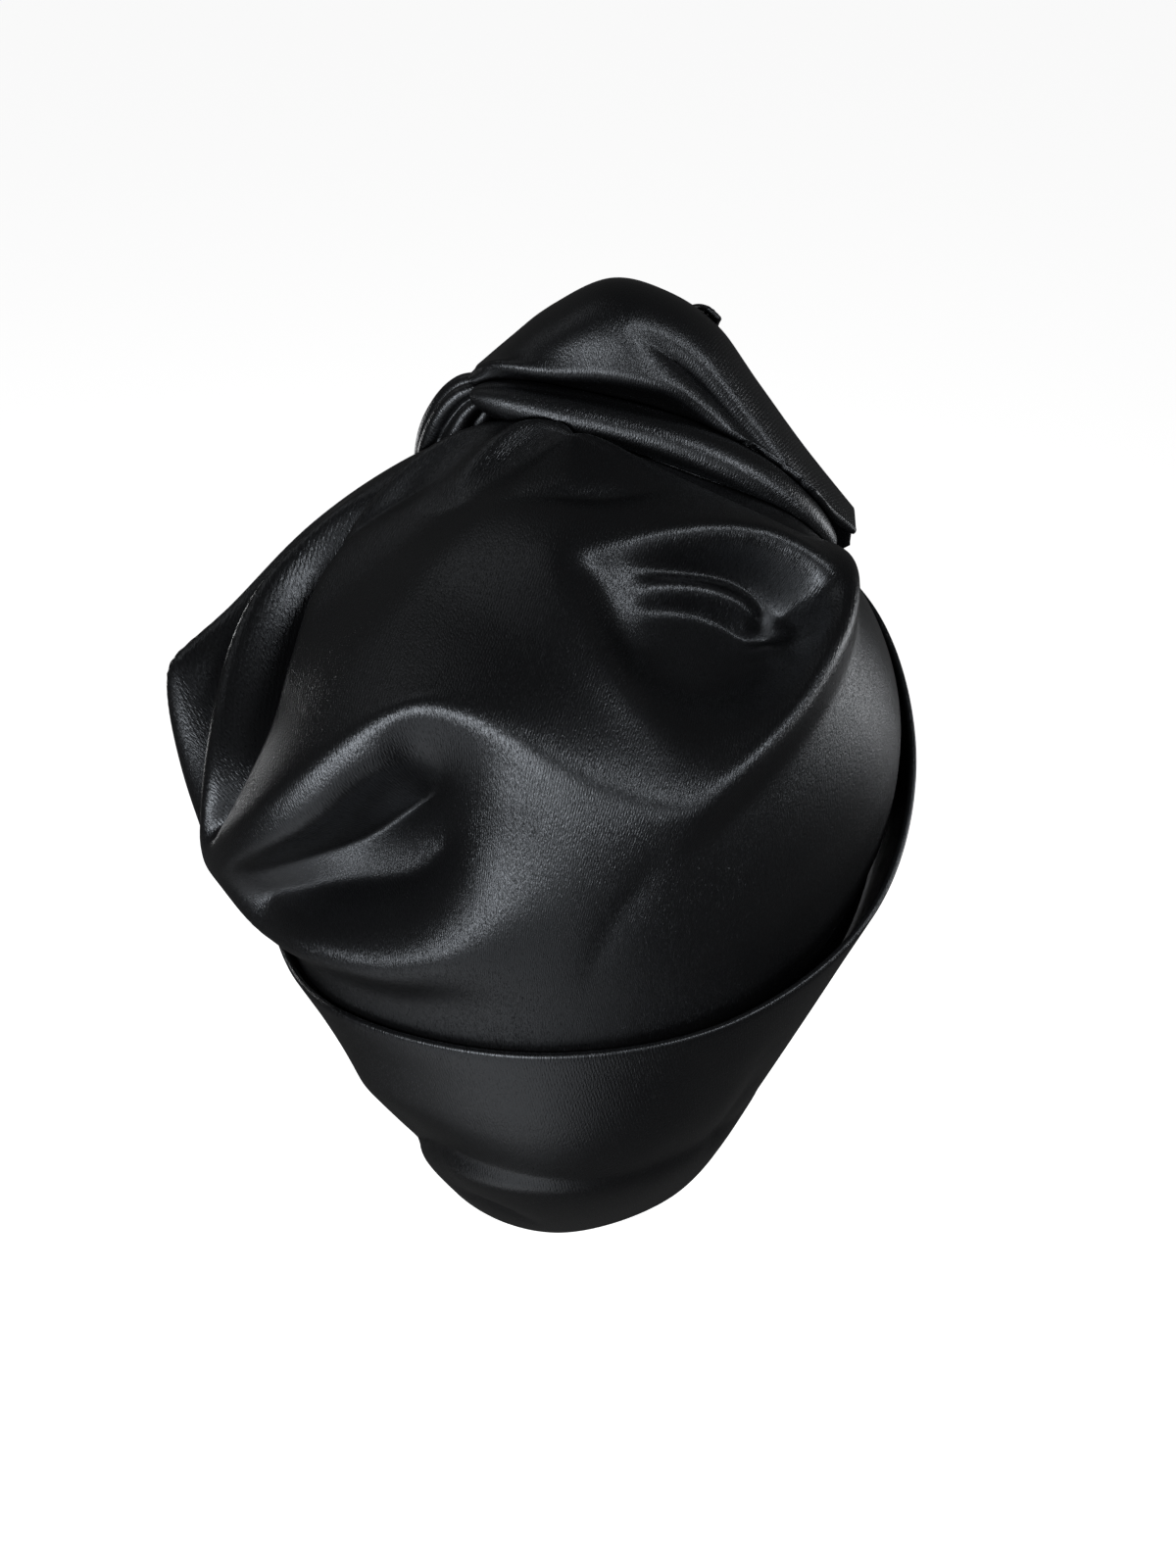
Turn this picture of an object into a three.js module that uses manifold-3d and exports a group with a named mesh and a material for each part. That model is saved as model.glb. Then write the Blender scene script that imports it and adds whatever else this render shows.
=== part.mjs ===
// Turban headwrap in black satin, shown worn: a loose gathered bag, a wide band round the head and a looped knot.
// Millimetres, +Z up. The wearer faces -Y and the wearer's left is +X.
// The origin is the middle of the head opening at the height of the forehead's edge.
import * as THREE from "three";
import Module from "manifold-3d";

const wasm = await Module();
wasm.setup();

// Driving dimensions
const CROWN_WALL = 1.6; // satin doubled in the bag, with air between the layers
const BAND_WALL = 2.2; // folded cuff
const LOOP_WALL = 2.0;
const GAP = 0.3; // left between pieces that lie on each other
const ROLL_GAP = 0.45; // grown into the sections of the roll, whose flat faces lie closer than their corners
const GATHER = new THREE.Vector3(5, -26, 143); // where the bag runs together under the knot
const HEART = new THREE.Vector3(0, 0, 50); // middle of the bag, from which it swells
const CLOTH_REACH = 185; // cloth from the gather to the band, the unit of the flattened crown
const TUCK = 18; // how far the bag goes down inside the band
const BAND_HEIGHT = 100; // from edge to edge at the back
const POCKET = 13; // how much of that stays clear of the band, for the foot of the knot
const SNUG = 2.9; // from the middle of the bag's wall to the middle of the band's, where the bag is sewn in
const EDGE_FADE = 0.1; // share of the way down in which the folds fade out above the band
const GATHER_FADE = 0.12; // the same below the gather

// How finely each piece is cut into faces
const CROWN_STEPS = { down: 24, tuck: 2 };
const BAND_STEPS = { round: 52, up: 8 };
const LOOP_STEPS = { along: 16, over: 14 };
const ROLL_STEPS = { along: 14, round: 12 };
const TUCK_STEPS = { along: 8, round: 15 };
const TAIL_STEPS = { along: 10, across: 6 };

// The bag's columns lie closest where its folds are narrow: each row gives a stretch of it and its columns.
const SPACING_COLUMNS = ["from", "to", "columns"];
const SPACING_ROWS = [
  [-112, 38, 29],
  [38, 122, 28],
  [122, 248, 14],
];

const SATIN = { color: 0x0d0e11, roughness: 0.38, metalness: 0 };

// The band's two edges round the head. around is in degrees: 0 at the back, 90 at the wearer's left, 180 in front.
// belly is how far the wall swells out between its edges.
const BAND_COLUMNS = ["around", "low_x", "low_y", "low_z", "top_x", "top_y", "top_z", "belly"];
const BAND_ROWS = [
  [0, 0, 66, -75, 0, 99, 24, 13],
  [35, 31, 56, -74, 54, 80, 16, 5],
  [65, 46, 33, -67, 84, 42, 9, -1],
  [90, 61, 5, -52, 97, 0, 22, -2],
  [120, 70, -38, -24, 85, -48, 50, 2],
  [150, 44, -77, -6, 49, -84, 82, 3],
  [180, 0, -99, 0, 0, -99, 98, 3],
  [210, -44, -77, -5, -50, -85, 96, 3],
  [240, -70, -38, -20, -85, -48, 84, 1],
  [270, -66, 2, -38, -97, 0, 60, -1],
  [300, -53, 34, -52, -85, 47, 38, 0],
  [330, -33, 56, -67, -49, 85, 28, 6],
];

// The bag before its folds. slack is its distance inside the band's edge, bulge how far it swells over the band,
// and fullness is 1 for a straight run up to the gather, 2 for round and more for boxy.
const CROWN_COLUMNS = ["around", "slack", "bulge", "fullness"];
const CROWN_ROWS = [
  [0, 3, 0.12, 2.5],
  [35, 3, 0.24, 2.7],
  [65, 3.4, 0.38, 2.7],
  [90, 3.4, 0.34, 2.3],
  [120, 4, 0.08, 1.9],
  [150, 8, 0.0, 1.4],
  [180, 9, 0.0, 1.1],
  [210, 8, 0.0, 1.2],
  [240, 5, 0.0, 1.35],
  [270, 5, 0.04, 1.75],
  [300, 7, 0.12, 2.4],
  [330, 5, 0.11, 2.5],
];

// Folds of the bag, drawn on the flattened crown: left and back are millimetres of cloth from the gather.
// rise lifts the cloth (a valley's is negative) and lean carries it sideways, to the fold's right, to overhang.
// crest is the radius of the fold's back, and reach the cloth that it draws in on its left and right.
const FOLD_COLUMNS = ["left", "back", "rise", "lean"];
const FOLDS = {
  long_ridge: {
    crest: 5,
    reach: [15, 8],
    rows: [
      [133, 68, 3, 0],
      [98, 78, 12, 3],
      [68, 80, 15, 7],
      [34, 77, 14, 9],
      [16, 91, 9, 4],
      [-4, 104, 6, 0],
      [-26, 111, 6, 0],
      [-48, 112, 7, 0],
    ],
  },
  right_rim: {
    crest: 4,
    reach: [12, 12],
    rows: [
      [-48, 112, 5, 0],
      [-67, 96, 9, 0],
      [-80, 74, 11, 0],
      [-91, 46, 11, 0],
      [-99, 22, 9, 0],
      [-103, 0, 4, 0],
    ],
  },
  bowl_lip: {
    crest: 5,
    reach: [9, 14],
    rows: [
      [138, 82, 3, 0],
      [124, 118, 7, -3],
      [78, 152, 8, -4],
      [34, 158, 7, -3],
      [8, 144, 7, 0],
      [3, 130, 6, 0],
      [14, 112, 4, 0],
    ],
  },
  right_brow: {
    crest: 3,
    reach: [6, 10],
    rows: [
      [-8, 56, 2, 0],
      [-20, 40, 5, 0],
      [-44, 29, 7, 0],
      [-70, 25, 6, 0],
      [-94, 24, 2, 0],
    ],
  },
  right_tongue: {
    crest: 4,
    reach: [8, 8],
    rows: [
      [-16, 60, 2, 0],
      [-24, 54, 7, 0],
      [-38, 50, 9, 0],
      [-56, 49, 6, 0],
      [-74, 51, 1, 0],
    ],
  },
  right_trough: {
    crest: 4,
    reach: [7, 7],
    rows: [
      [-20, 78, -2, 0],
      [-42, 78, -5, 0],
      [-66, 71, -6, 0],
      [-84, 52, -4, 0],
    ],
  },
  soft_crease: {
    crest: 6,
    reach: [8, 8],
    rows: [
      [2, 34, 1, 0],
      [-4, 54, 3, 0],
      [-20, 80, 3, 0],
      [-34, 98, 1, 0],
    ],
  },
  side_corner: {
    crest: 4,
    reach: [10, 10],
    rows: [
      [134, 66, 2, 0],
      [126, 40, 5, 0],
      [113, 14, 7, 0],
      [95, -20, 6, 0],
      [66, -38, 5, 0],
      [38, -32, 2, 0],
    ],
  },
  side_pocket: {
    crest: 5,
    reach: [8, 8],
    rows: [
      [126, 60, -2, 0],
      [98, 44, -9, 0],
      [88, 14, -12, 0],
      [78, -10, -10, 0],
      [56, -22, -5, 0],
    ],
  },
  face_edge: {
    crest: 4,
    reach: [8, 10],
    rows: [
      [128, 66, 2, 0],
      [86, 62, 5, 0],
      [68, 30, 6, 0],
      [63, 2, 5, 0],
      [50, -10, 3, 0],
      [34, -12, 1, 0],
    ],
  },
  knot_pleat: {
    crest: 3,
    reach: [7, 7],
    rows: [
      [10, -4, 2, 0],
      [28, -9, 5, 0],
      [44, -6, 3, 0],
      [60, 2, 1, 0],
    ],
  },
  knot_crease: {
    crest: 2,
    reach: [5, 5],
    rows: [
      [34, 6, -2, 0],
      [48, 4, -3, 0],
      [60, 8, -1, 0],
    ],
  },
};

// Hollows of the bag on the flattened crown. turn is in degrees, a positive depth goes in and a negative one
// swells out, and wall is how steep the sides are.
const HOLLOW_COLUMNS = ["left", "back", "half_long", "half_wide", "turn", "depth", "wall"];
const HOLLOW_ROWS = [
  [70, 122, 54, 29, -8, 20, 4], // the deep bowl on the wearer's left
  [42, 97, 22, 11, -20, 8, 3], // its throat, under the long ridge
  [-56, 58, 44, 27, 14, 17, 4], // the bowl on the wearer's right
  [16, 150, 60, 16, 0, 3, 3], // slack above the band
  [112, 14, 26, 34, 60, -5, 3], // the bag's side corner
  [136, 70, 12, 12, 0, -6, 3], // the pinched tip
];

// The loop of the knot. along its length from the wearer's left to its tip on the right, each row gives the loop's
// foot towards the bag, its ridge and its foot in front, and how much its two sides swell.
const LOOP_COLUMNS = ["x", "back_y", "back_z", "top_y", "top_z", "front_y", "front_z", "swell"];
const LOOP_ROWS = [
  [37, -48, 151, -60, 151, -78, 128, 0.05],
  [27, -46, 152, -61, 159, -86, 108, 0.12],
  [14, -45, 152, -62, 168, -92, 94, 0.2],
  [-2, -45, 150, -62, 175.5, -94, 88, 0.24],
  [-17, -45, 147, -62, 172.5, -93, 86, 0.24],
  [-31, -44, 142, -62, 164, -89, 86, 0.2],
  [-46, -43, 133, -62, 147, -82, 86, 0.16],
  [-61, -42, 122, -61, 129, -72, 88, 0.1],
  [-77, -46, 110, -60, 111, -64, 98, 0],
];
const LOOP_FOLDS = {
  arched_crease: {
    crest: 2,
    reach: [5, 8],
    rows: [
      [18, 4, 1, 0],
      [36, 8, 3, 0],
      [52, 9, 3.5, 0],
      [68, 10, 3.5, 0],
      [84, 8, 3, 0],
      [98, 10, 1, 0],
    ],
  },
  long_fold: {
    crest: 4,
    reach: [8, 8],
    rows: [
      [30, 52, 1, 0],
      [60, 62, 3, 0],
      [90, 56, 2, 0],
    ],
  },
};
const LOOP_HOLLOWS = [
  [88, 15, 22, 9, 0, 4.5, 3], // the hollow beside the tip
  [50, 2, 30, 5, 0, 2, 3], // under the arched crease
];
const LOOP_LENGTH = 140;
const LOOP_GIRTH = 90;

// Wound pieces of the knot: the middle of each section and its half sizes across and up.
const WOUND_COLUMNS = ["x", "y", "z", "half_deep", "half_tall"];
const ROLL = {
  ribs: 3,
  rib_share: 0.07,
  twist: 200,
  rows: [
    [37, -45, 148, 4, 4],
    [26, -43, 147, 7, 6],
    [10, -41, 144.5, 8.5, 7],
    [-8, -40, 141, 9, 7.5],
    [-26, -39, 136, 9.5, 8],
    [-43, -39, 128, 10, 8.5],
    [-58, -40, 117, 9, 8],
    [-71, -42, 105, 6, 6],
  ],
};
const TUCKED = {
  ribs: 5,
  rib_share: 0.14,
  twist: 60,
  rows: [
    [30, -52, 148, 5, 5],
    [38, -55, 142, 9, 8],
    [44, -57, 133, 10, 9],
    [48, -61, 122, 10, 9],
    [50, -66, 110, 8, 8],
    [50, -71, 99, 4, 5],
  ],
};

// The scarf's end lies on the front of the loop, from its foot inside the band to its tip at the loop's ridge.
// along and over are places on the loop, half_wide a share of its length and lift the tip's height above it.
const TAIL_COLUMNS = ["along", "over", "half_wide", "lift"];
const TAIL_WALL = 2.0;
const TAIL_RIBS = 2;
const TAIL_RIB_RISE = 1.2;
const TAIL_GAP = 3 * GAP; // flat faces of the tail cut the corners of the loop's folds, so it lies a little higher
const TAIL_ROWS = [
  [0.44, 1.0, 0.12, 0],
  [0.47, 0.88, 0.115, 0],
  [0.51, 0.76, 0.1, 0],
  [0.56, 0.64, 0.075, 0],
  [0.61, 0.55, 0.045, 0.5],
  [0.645, 0.5, 0.025, 1],
];

const rowsToTable = (columns, rows) =>
  rows.map((row) => Object.fromEntries(columns.map((column, k) => [column, row[k]])));

// A smooth curve through four neighbouring values, for stations that need not be evenly spaced.
function hermite(x, xs, ys) {
  const span = xs[2] - xs[1];
  const t = (x - xs[1]) / span;
  const slopeIn = ((ys[2] - ys[0]) / (xs[2] - xs[0])) * span;
  const slopeOut = ((ys[3] - ys[1]) / (xs[3] - xs[1])) * span;
  return (
    (2 * t ** 3 - 3 * t ** 2 + 1) * ys[1] +
    (t ** 3 - 2 * t ** 2 + t) * slopeIn +
    (3 * t ** 2 - 2 * t ** 3) * ys[2] +
    (t ** 3 - t ** 2) * slopeOut
  );
}

// Reads a table whose first column goes once round the head.
function roundTable(columns, rows) {
  const table = rowsToTable(columns, rows);
  const count = table.length;
  return (around, column) => {
    const angle = ((around % 360) + 360) % 360;
    let k = count - 1;
    while (table[k].around > angle) k -= 1;
    const near = [-1, 0, 1, 2].map((step) => k + step);
    const xs = near.map((n) => table[(n + count) % count].around + 360 * Math.floor(n / count));
    const ys = near.map((n) => table[(n + count) % count][column]);
    return hermite(angle, xs, ys);
  };
}

// Reads a table whose rows are evenly spaced along a fold or a knot, from 0 at the first to 1 at the last.
function alongTable(columns, rows) {
  const table = rowsToTable(columns, rows);
  const last = table.length - 1;
  return (along, column) => {
    const place = THREE.MathUtils.clamp(along, 0, 1) * last;
    const k = Math.min(Math.floor(place), last - 1);
    const near = [k - 1, k, k + 1, k + 2];
    const ys = near.map((n) => table[THREE.MathUtils.clamp(n, 0, last)][column]);
    return hermite(place, near, ys);
  };
}

const band = roundTable(BAND_COLUMNS, BAND_ROWS);
const crown = roundTable(CROWN_COLUMNS, CROWN_ROWS);

// The middle of the band's wall: up is 0 at the lower edge and 1 at the upper one.
function bandPoint(around, up) {
  const low = new THREE.Vector3(band(around, "low_x"), band(around, "low_y"), band(around, "low_z"));
  const top = new THREE.Vector3(band(around, "top_x"), band(around, "top_y"), band(around, "top_z"));
  const outward = new THREE.Vector3(low.x + top.x, low.y + top.y, 0).normalize();
  return low.lerp(top, up).addScaledVector(outward, band(around, "belly") * Math.sin(Math.PI * up));
}

// The bag without its folds: down is 0 at the gather, 1 at the band's edge, and more inside the band.
function plainCrown(around, down) {
  const depth = Math.max(down - 1, 0) * CLOTH_REACH;
  const edge = bandPoint(around, 1 - depth / BAND_HEIGHT);
  const inward = new THREE.Vector3(-edge.x, -edge.y, 0).normalize();
  const sewn = THREE.MathUtils.smoothstep(depth, POCKET, TUCK);
  edge.addScaledVector(inward, THREE.MathUtils.lerp(crown(around, "slack"), SNUG, sewn));
  if (down >= 1) return edge;
  const lift = (Math.PI / 2) * (1 - down);
  const power = 2 / crown(around, "fullness");
  const swell = 1 + crown(around, "bulge") * Math.sin(2 * lift);
  const out = Math.cos(lift) ** power * swell;
  const rise = Math.sin(lift) ** power;
  return HEART.clone()
    .addScaledVector(edge.sub(HEART), out)
    .addScaledVector(GATHER.clone().sub(HEART), rise);
}

// Each fold as a chain of short straight pieces on the flattened crown.
const FOLD_PIECES = 20;
const foldChains = (folds) =>
  Object.values(folds).map(({ crest, reach, rows }) => {
    const at = alongTable(FOLD_COLUMNS, rows);
    const chain = Array.from({ length: FOLD_PIECES + 1 }, (_, k) =>
      Object.fromEntries(FOLD_COLUMNS.map((column) => [column, at(k / FOLD_PIECES, column)])),
    );
    return { crest, reach, chain };
  });
const crownFolds = foldChains(FOLDS);
const crownHollows = rowsToTable(HOLLOW_COLUMNS, HOLLOW_ROWS);
const loopFolds = foldChains(LOOP_FOLDS);
const loopHollows = rowsToTable(HOLLOW_COLUMNS, LOOP_HOLLOWS);

// What folds and hollows do at one place of a flattened piece.
function relief(folds, hollows, left, back) {
  const change = { rise: 0, left: 0, back: 0 };
  for (const { crest, reach, chain } of folds) {
    let best = { distance: Infinity };
    for (let k = 0; k + 1 < chain.length; k += 1) {
      const a = chain[k];
      const b = chain[k + 1];
      const run = [b.left - a.left, b.back - a.back];
      const length = Math.hypot(...run);
      const off = [left - a.left, back - a.back];
      const t = THREE.MathUtils.clamp((off[0] * run[0] + off[1] * run[1]) / length ** 2, 0, 1);
      const distance = Math.hypot(off[0] - t * run[0], off[1] - t * run[1]);
      if (distance < best.distance) {
        const side = Math.sign(off[0] * run[1] - off[1] * run[0]);
        best = { distance, a, b, t, side, across: [run[1] / length, -run[0] / length] };
      }
    }
    const width = best.side > 0 ? reach[1] : reach[0];
    const shape = Math.exp(-(Math.hypot(crest, best.distance) - crest) / width);
    const rise = THREE.MathUtils.lerp(best.a.rise, best.b.rise, best.t);
    const lean = THREE.MathUtils.lerp(best.a.lean, best.b.lean, best.t);
    change.rise += rise * shape;
    change.left += lean * shape * best.across[0];
    change.back += lean * shape * best.across[1];
  }
  for (const hollow of hollows) {
    const turn = THREE.MathUtils.degToRad(hollow.turn);
    const off = [left - hollow.left, back - hollow.back];
    const long = off[0] * Math.cos(turn) + off[1] * Math.sin(turn);
    const wide = off[1] * Math.cos(turn) - off[0] * Math.sin(turn);
    const size = Math.hypot(long / hollow.half_long, wide / hollow.half_wide);
    change.rise -= hollow.depth / (1 + size ** hollow.wall);
  }
  return change;
}

// The bag with its folds. They fade out where it meets the band and where it runs into the gather.
const CLOTH_STEP = 2; // millimetres either way, for the bag's slope
function crownPoint(around, down) {
  if (down >= 1) return plainCrown(around, down);
  const angle = THREE.MathUtils.degToRad(around);
  const left = down * Math.sin(angle) * CLOTH_REACH;
  const back = down * Math.cos(angle) * CLOTH_REACH;
  const low = THREE.MathUtils.smoothstep(1 - down, 0, EDGE_FADE);
  const fade = low * THREE.MathUtils.smoothstep(down, 0, GATHER_FADE);
  const change = relief(crownFolds, crownHollows, left, back);
  const onCloth = (l, b) =>
    plainCrown(THREE.MathUtils.radToDeg(Math.atan2(l, b)), Math.min(Math.hypot(l, b) / CLOTH_REACH, 1));
  const l = left + change.left * fade;
  const b = back + change.back * fade;
  const alongLeft = onCloth(l + CLOTH_STEP, b).sub(onCloth(l - CLOTH_STEP, b));
  const alongBack = onCloth(l, b + CLOTH_STEP).sub(onCloth(l, b - CLOTH_STEP));
  const outward = alongLeft.cross(alongBack).normalize();
  if (outward.dot(onCloth(l, b).sub(HEART)) < 0) outward.negate();
  return onCloth(l, b).addScaledVector(outward, change.rise * fade);
}

// The mean normal round the point in which a capped grid starts.
const capNormal = (normal, count) => {
  const sum = new THREE.Vector3();
  for (let i = 0; i < count; i += 1) sum.add(normal(i, 1));
  return sum.normalize();
};

// A closed wall on both sides of a grid of points. A ring joins its last column to its first, and a capped grid
// starts in one point.
function wall(pointAt, columns, rows, thickness, { ring = false, capped = false } = {}) {
  const count = ring ? columns : columns + 1;
  const grid = [];
  for (let i = 0; i < count; i += 1) {
    grid.push(Array.from({ length: rows + 1 }, (_, j) => pointAt(i / columns, j / rows)));
  }
  const at = (i, j) => grid[ring ? (i + count) % count : THREE.MathUtils.clamp(i, 0, count - 1)][j];
  const normal = (i, j) => {
    const along = at(i + 1, j).clone().sub(at(i - 1, j));
    const down = at(i, Math.min(j + 1, rows)).clone().sub(at(i, Math.max(j - 1, 0)));
    return along.cross(down).normalize();
  };
  const points = [];
  const index = [[], []];
  [0.5, -0.5].forEach((share, side) => {
    for (let i = 0; i < count; i += 1) {
      index[side].push([]);
      for (let j = 0; j <= rows; j += 1) {
        if (capped && j === 0 && i > 0) {
          index[side][i].push(index[side][0][0]);
          continue;
        }
        const away = capped && j === 0 ? capNormal(normal, count) : normal(i, j);
        index[side][i].push(points.length);
        points.push(at(i, j).clone().addScaledVector(away, share * thickness));
      }
    }
  });
  const faces = [];
  const quad = (a, b, c, d) => faces.push([a, b, c], [a, c, d]);
  const [outer, inner] = index;
  const next = (i) => (ring ? (i + 1) % count : i + 1);
  const strips = ring ? count : count - 1;
  for (let i = 0; i < strips; i += 1) {
    for (let j = 0; j < rows; j += 1) {
      quad(outer[i][j], outer[next(i)][j], outer[next(i)][j + 1], outer[i][j + 1]);
      quad(inner[i][j], inner[i][j + 1], inner[next(i)][j + 1], inner[next(i)][j]);
    }
    quad(outer[i][rows], outer[next(i)][rows], inner[next(i)][rows], inner[i][rows]);
    if (!capped) quad(outer[next(i)][0], outer[i][0], inner[i][0], inner[next(i)][0]);
  }
  if (!ring) {
    for (let j = 0; j < rows; j += 1) {
      quad(outer[0][j], outer[0][j + 1], inner[0][j + 1], inner[0][j]);
      quad(outer[columns][j + 1], outer[columns][j], inner[columns][j], inner[columns][j + 1]);
    }
  }
  return closedSolid(points, faces);
}

// A filled solid under a ring of columns that starts in one point: its skin, lifted by away, and a flat underside.
function filled(pointAt, columns, rows, away) {
  const points = [pointAt(0, 0)];
  const faces = [];
  const id = (i, j) => (j === 0 ? 0 : 1 + (i % columns) * rows + (j - 1));
  for (let i = 0; i < columns; i += 1) {
    for (let j = 1; j <= rows; j += 1) points.push(pointAt(i / columns, j / rows));
  }
  const foot = points.push(points[0].clone().setZ(HEART.z)) - 1;
  for (let i = 0; i < columns; i += 1) {
    for (let j = 0; j < rows; j += 1) {
      faces.push([id(i, j), id(i + 1, j), id(i + 1, j + 1)], [id(i, j), id(i + 1, j + 1), id(i, j + 1)]);
    }
    faces.push([foot, id(i, rows), id(i + 1, rows)]);
  }
  return closedSolid(lifted(points, faces, away), faces);
}

// Points moved along the mean normal of the faces that meet in them.
function lifted(points, faces, away) {
  const normals = points.map(() => new THREE.Vector3());
  for (const face of faces) {
    const [a, b, c] = face.map((k) => points[k]);
    const normal = b.clone().sub(a).cross(c.clone().sub(a));
    face.forEach((k) => normals[k].add(normal));
  }
  const outward = Math.sign(normals[0].z);
  return points.map((point, k) => point.clone().addScaledVector(normals[k].normalize(), outward * away));
}

// A piece with the room of its neighbours cut out of it. Crumbs that a cut leaves are dropped.
function seated(solid, ...neighbours) {
  const bodies = neighbours.reduce((rest, neighbour) => rest.subtract(neighbour), solid).decompose();
  return bodies.reduce((biggest, body) => (body.volume() > biggest.volume() ? body : biggest));
}

// A solid from points and triangles, turned to face outwards. A triangle with two corners in one point is dropped.
function closedSolid(points, faces) {
  const kept = faces.filter(([a, b, c]) => a !== b && b !== c && a !== c);
  const volume = kept.reduce(
    (sum, [a, b, c]) => sum + points[a].dot(points[b].clone().cross(points[c])),
    0,
  );
  const turned = volume < 0 ? kept.map(([a, b, c]) => [a, c, b]) : kept;
  return new wasm.Manifold(
    new wasm.Mesh({
      numProp: 3,
      vertProperties: new Float32Array(points.flatMap((point) => point.toArray())),
      triVerts: new Uint32Array(turned.flat()),
    }),
  );
}

// The share of the way round at each column of the bag, as an angle.
const crownAngles = rowsToTable(SPACING_COLUMNS, SPACING_ROWS).flatMap(({ from, to, columns }) =>
  Array.from({ length: columns }, (_, k) => from + ((to - from) * k) / columns),
);

// The middle of the loop's wall: over is 0 at its foot towards the bag, a half at its ridge and 1 at its front foot.
const loop = alongTable(LOOP_COLUMNS, LOOP_ROWS);
function plainLoop(along, over) {
  const at = (column) => loop(along, column);
  const [side, turn] = over < 0.5 ? ["back", over * Math.PI] : ["front", (1 - over) * Math.PI];
  const out = Math.cos(turn) + at("swell") * Math.sin(2 * turn);
  const y = at("top_y") + (at(side + "_y") - at("top_y")) * out;
  const z = at(side + "_z") + (at("top_z") - at(side + "_z")) * Math.sin(turn);
  return new THREE.Vector3(at("x"), y, z);
}

// The loop's wall with its folds, moved away from itself by away millimetres.
const LOOP_STEP = 0.01; // either way, for the loop's slope
function loopPoint(along, over, away = 0) {
  const { rise } = relief(loopFolds, loopHollows, along * LOOP_LENGTH, over * LOOP_GIRTH);
  const lengthwise = plainLoop(along + LOOP_STEP, over).sub(plainLoop(along - LOOP_STEP, over));
  const ahead = plainLoop(along, Math.min(over + LOOP_STEP, 1));
  const crosswise = ahead.sub(plainLoop(along, Math.max(over - LOOP_STEP, 0)));
  const outward = lengthwise.cross(crosswise).normalize();
  return plainLoop(along, over).addScaledVector(outward, rise + away);
}

// A wound piece: ribbed oval sections along its rows, rounded off at both ends.
const WOUND_STEP = 0.05; // either way, for the direction of its middle
const END_POWER = 8; // the higher, the shorter the rounding at an end
const END_SHARE = 0.15; // square of what is left of the section at an end
function woundSolid({ ribs, rib_share, twist, rows }, steps, grow = 0) {
  const at = alongTable(WOUND_COLUMNS, rows);
  const middle = (t) => new THREE.Vector3(at(t, "x"), at(t, "y"), at(t, "z"));
  const points = [];
  const faces = [];
  const deep = new THREE.Vector3(0, 1, 0);
  for (let i = 0; i <= steps.along; i += 1) {
    const t = i / steps.along;
    const behind = middle(Math.max(t - WOUND_STEP, 0));
    const forward = middle(Math.min(t + WOUND_STEP, 1)).sub(behind).normalize();
    const tall = new THREE.Vector3().crossVectors(forward, deep).normalize();
    const side = new THREE.Vector3().crossVectors(tall, forward);
    const round = Math.sqrt(Math.max(1 - (2 * t - 1) ** END_POWER, END_SHARE));
    for (let j = 0; j < steps.round; j += 1) {
      const angle = (2 * Math.PI * j) / steps.round;
      const rib = 1 + rib_share * Math.cos(ribs * angle + THREE.MathUtils.degToRad(twist) * t);
      const reach = (half) => (half * rib + grow) * round;
      points.push(
        middle(t)
          .addScaledVector(side, reach(at(t, "half_deep")) * Math.cos(angle))
          .addScaledVector(tall, reach(at(t, "half_tall")) * Math.sin(angle)),
      );
    }
  }
  const id = (i, j) => i * steps.round + (j % steps.round);
  for (let i = 0; i < steps.along; i += 1) {
    for (let j = 0; j < steps.round; j += 1) {
      faces.push([id(i, j), id(i + 1, j), id(i + 1, j + 1)], [id(i, j), id(i + 1, j + 1), id(i, j + 1)]);
    }
  }
  [0, steps.along].forEach((i) => {
    const end = points.push(middle(i / steps.along)) - 1;
    for (let j = 0; j < steps.round; j += 1) {
      const pair = i === 0 ? [id(i, j), id(i, j + 1)] : [id(i, j + 1), id(i, j)];
      faces.push([end, ...pair]);
    }
  });
  return closedSolid(points, faces);
}

// The scarf's end: soft ribs run along it, and fade at its edges.
const tail = alongTable(TAIL_COLUMNS, TAIL_ROWS);
function tailPoint(along, across) {
  const side = 2 * across - 1;
  const place = tail(along, "along") + side * tail(along, "half_wide");
  const rib = TAIL_RIB_RISE * (1 + Math.cos(2 * Math.PI * TAIL_RIBS * side)) * (1 - side ** 2);
  const away = (LOOP_WALL + TAIL_WALL) / 2 + TAIL_GAP + rib * Math.sin(Math.PI * along) + tail(along, "lift");
  return loopPoint(place, tail(along, "over"), away);
}

// The rows of the bag go down to the band's edge in even steps, then to the end of its pocket and to its own edge.
const crownRows = CROWN_STEPS.down + CROWN_STEPS.tuck;
const crownDown = (v) => {
  const row = Math.round(v * crownRows);
  if (row <= CROWN_STEPS.down) return row / CROWN_STEPS.down;
  return 1 + (row < crownRows ? POCKET : TUCK) / CLOTH_REACH;
};
const crownGrid = (u, v) => {
  const column = Math.round(u * crownAngles.length) % crownAngles.length;
  return crownPoint(crownAngles[column], crownDown(v));
};

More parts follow.
